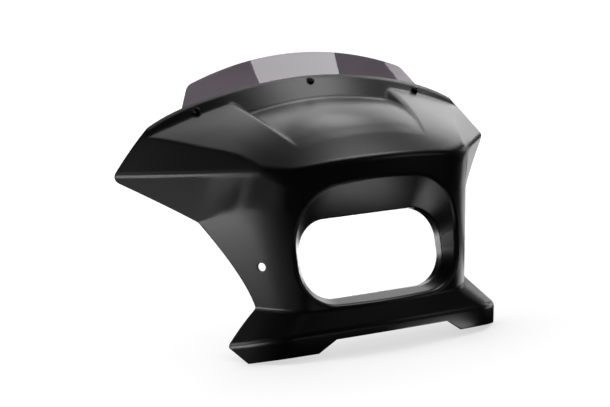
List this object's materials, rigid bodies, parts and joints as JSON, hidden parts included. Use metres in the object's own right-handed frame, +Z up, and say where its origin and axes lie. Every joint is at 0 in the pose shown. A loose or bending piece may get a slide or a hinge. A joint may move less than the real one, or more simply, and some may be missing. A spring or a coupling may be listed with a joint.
{
  "type": "motorcycle fairing",
  "caption": "Formed black fairing for a motorcycle's front, with a rectangular headlight opening, swept wings, a notched base and a low smoked windscreen screwed behind its top edge.",
  "frame": {"origin": "middle of the bounding box's underside, in the mounted pose", "axes": "+X to the right seen from the front, along the width; +Y to the rider; +Z up"},
  "size_m": [0.5683, 0.2494, 0.3501],
  "materials": {
    "abs_black": "satin black formed ABS",
    "smoked_acrylic": "polished smoked acrylic sheet",
    "black_steel": "black oxide steel",
    "nylon_black": "moulded black nylon",
    "rubber_black": "moulded black rubber",
    "insert_brass": "turned brass"
  },
  "bodies": {
    "root": {"fairing_shell": "abs_black", "windscreen": "smoked_acrylic", "windscreen_screws": "black_steel", "screw_washers": "nylon_black", "well_nuts": "rubber_black", "well_nut_inserts": "insert_brass"}
  },
  "joints": []
}
